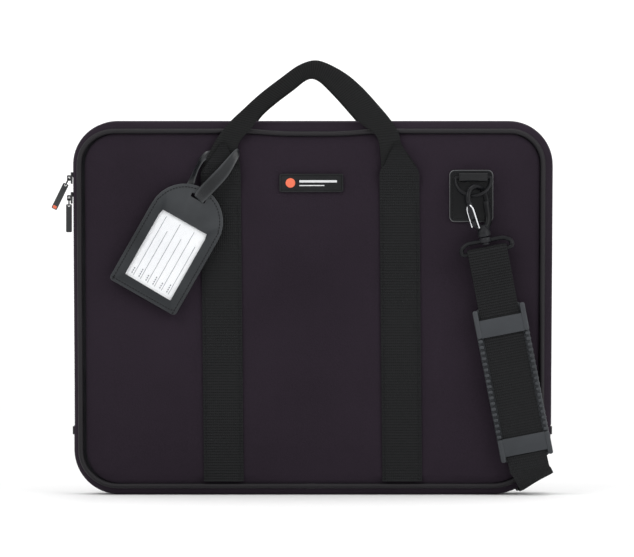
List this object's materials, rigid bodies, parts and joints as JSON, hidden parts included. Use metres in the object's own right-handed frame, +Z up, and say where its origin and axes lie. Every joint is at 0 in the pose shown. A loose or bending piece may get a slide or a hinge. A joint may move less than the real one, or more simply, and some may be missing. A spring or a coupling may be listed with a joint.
{
  "type": "music stand carry bag",
  "caption": "Slim padded zip bag for a folded music stand, with webbing carry handles, luggage tag and a padded shoulder strap on snap hooks.",
  "frame": {"origin": "middle of the underside of the standing bag, in the middle plane between the two panels", "axes": "+Z up, the front panel faces -Y, +X to the right as seen from the front"},
  "size_m": [0.4802, 0.1, 0.4155],
  "materials": {
    "shell_cloth": "fine matt weave",
    "foam": "closed-cell foam",
    "lining_cloth": "smooth nylon",
    "piping": "tight smooth weave",
    "zip_tape": "woven tape",
    "zip_teeth": "moulded coil",
    "moulded": "satin",
    "webbing": "ribbed polypropylene webbing",
    "gloss_leather": "glossy coated leather",
    "tag_leather": "smooth glossy leather",
    "tag_window": "clear film",
    "paper": "matt card",
    "black_metal": "black satin coating",
    "spring_steel": "bright",
    "pad_rubber": "matt moulded rubber"
  },
  "bodies": {
    "root": {"back_panel": "shell_cloth", "back_foam": "foam", "back_lining": "lining_cloth", "back_piping": "piping", "gusset": "shell_cloth", "bottom_gusset": "shell_cloth", "zip_tape_back": "zip_tape", "zip_coil_back": "zip_teeth", "zip_stop_left": "gloss_leather", "zip_stop_right": "gloss_leather", "inner_pocket": "lining_cloth", "back_band_left": "webbing", "back_band_right": "webbing", "handle_root_back_left": "webbing", "handle_root_back_right": "webbing", "dring_patch_rear": "gloss_leather", "dring_tab_rear": "gloss_leather", "clip_loop_rear": "black_metal", "shoulder_strap_rear": "webbing", "strap_return": "webbing"},
    "front_shell": {"front_panel": "shell_cloth", "front_foam": "foam", "front_lining": "lining_cloth", "front_piping": "piping", "zip_tape_front": "zip_tape", "zip_coil_front": "zip_teeth", "front_band_left": "webbing", "front_band_right": "webbing", "handle_root_front_left": "webbing", "handle_root_front_right": "webbing", "label_plate": "moulded", "dring_patch_front": "gloss_leather", "dring_tab_front": "gloss_leather", "clip_loop_front": "black_metal", "shoulder_strap_front": "webbing", "tag_strap": "tag_leather"},
    "front_handle": {"front_handle": "webbing"},
    "back_handle": {"back_handle": "webbing"},
    "luggage_tag": {"tag_front": "tag_leather", "tag_window": "tag_window", "tag_card": "paper", "tag_back": "tag_leather"},
    "zip_slider_upper": {"zip_slider_upper": "moulded"},
    "zip_slider_lower": {"zip_slider_lower": "moulded"},
    "zip_pull_upper": {"zip_link_upper": "black_metal", "zip_grip_upper": "moulded"},
    "zip_pull_lower": {"zip_link_lower": "black_metal", "zip_grip_lower": "moulded"},
    "dring_front": {"dring_front": "black_metal"},
    "dring_rear": {"dring_rear": "black_metal"},
    "hook_front": {"hook_front": "black_metal"},
    "hook_rear": {"hook_rear": "black_metal"},
    "gate_front": {"gate_front": "spring_steel"},
    "gate_rear": {"gate_rear": "spring_steel"},
    "shoulder_pad": {"shoulder_pad": "pad_rubber"},
    "strap_adjuster": {"strap_adjuster": "moulded"}
  },
  "joints": [
    {"name": "shell_opening", "type": "hinge", "parent": "root", "child": "front_shell", "pos_m": [0, -0.025, 0.005], "axis": [1, 0, 0], "range_deg": [0, 65]},
    {"name": "front_handle_fold", "type": "hinge", "parent": "front_shell", "child": "front_handle", "pos_m": [0, -0.0293, 0.3555], "axis": [1, 0, 0], "range_deg": [-26, 110]},
    {"name": "back_handle_fold", "type": "hinge", "parent": "root", "child": "back_handle", "pos_m": [0, 0.0293, 0.3555], "axis": [-1, 0, 0], "range_deg": [-26, 110]},
    {"name": "tag_swing", "type": "hinge", "parent": "front_shell", "child": "luggage_tag", "pos_m": [-0.083, -0.036, 0.325], "axis": [0, -1, 0], "range_deg": [-15, 30], "deforming": ["tag_strap"]},
    {"name": "zip_upper_run", "type": "slide", "parent": "root", "child": "zip_slider_upper", "axis": [0, 0, 1], "range_m": [0, 0.008]},
    {"name": "zip_lower_run", "type": "slide", "parent": "root", "child": "zip_slider_lower", "axis": [0, 0, 1], "range_m": [-0.21, 0]},
    {"name": "zip_pull_upper_swing", "type": "hinge", "parent": "zip_slider_upper", "child": "zip_pull_upper", "pos_m": [-0.2333, -0.0121, 0.303], "axis": [0, 1, 0], "range_deg": [0, 90]},
    {"name": "zip_pull_lower_swing", "type": "hinge", "parent": "zip_slider_lower", "child": "zip_pull_lower", "pos_m": [-0.2333, -0.0121, 0.284], "axis": [0, 1, 0], "range_deg": [0, 26]},
    {"name": "dring_front_swing", "type": "hinge", "parent": "front_shell", "child": "dring_front", "pos_m": [0.1536, -0.0314, 0.303], "axis": [1, 0, 0], "range_deg": [-2.5, 2.5]},
    {"name": "dring_rear_swing", "type": "hinge", "parent": "root", "child": "dring_rear", "pos_m": [-0.15626, 0.0314, 0.31571], "axis": [-0.6286, 0, -0.7777], "range_deg": [-2.5, 2.5]},
    {"name": "hook_front_swivel", "type": "hinge", "parent": "front_shell", "child": "hook_front", "pos_m": [0.1634, -0.039, 0.25], "axis": [-0.1899, 0, 0.9818], "range_deg": [-3, 3]},
    {"name": "hook_rear_swivel", "type": "hinge", "parent": "root", "child": "hook_rear", "pos_m": [-0.11582, 0.039, 0.28302], "axis": [-0.7777, 0, 0.6286], "range_deg": [-3, 3]},
    {"name": "gate_front_snap", "type": "hinge", "parent": "hook_front", "child": "gate_front", "pos_m": [0.15219, -0.04663, 0.26331], "axis": [-0.657, 0.7431, -0.1271], "range_deg": [0, 25], "stiffness_Nm_per_rad": 0.05, "springref_deg": -11.46},
    {"name": "gate_rear_snap", "type": "hinge", "parent": "hook_rear", "child": "gate_rear", "pos_m": [-0.12231, 0.04663, 0.29917], "axis": [0.4206, -0.7431, 0.5204], "range_deg": [0, 25], "stiffness_Nm_per_rad": 0.05, "springref_deg": -11.46},
    {"name": "pad_slide", "type": "slide", "parent": "front_shell", "child": "shoulder_pad", "axis": [-0.1899, 0, 0.9818], "range_m": [-0.004, 0.025]},
    {"name": "adjuster_slide", "type": "slide", "parent": "root", "child": "strap_adjuster", "axis": [-0.7777, 0, 0.6286], "range_m": [0, 0.1], "deforming": ["strap_return"]}
  ]
}
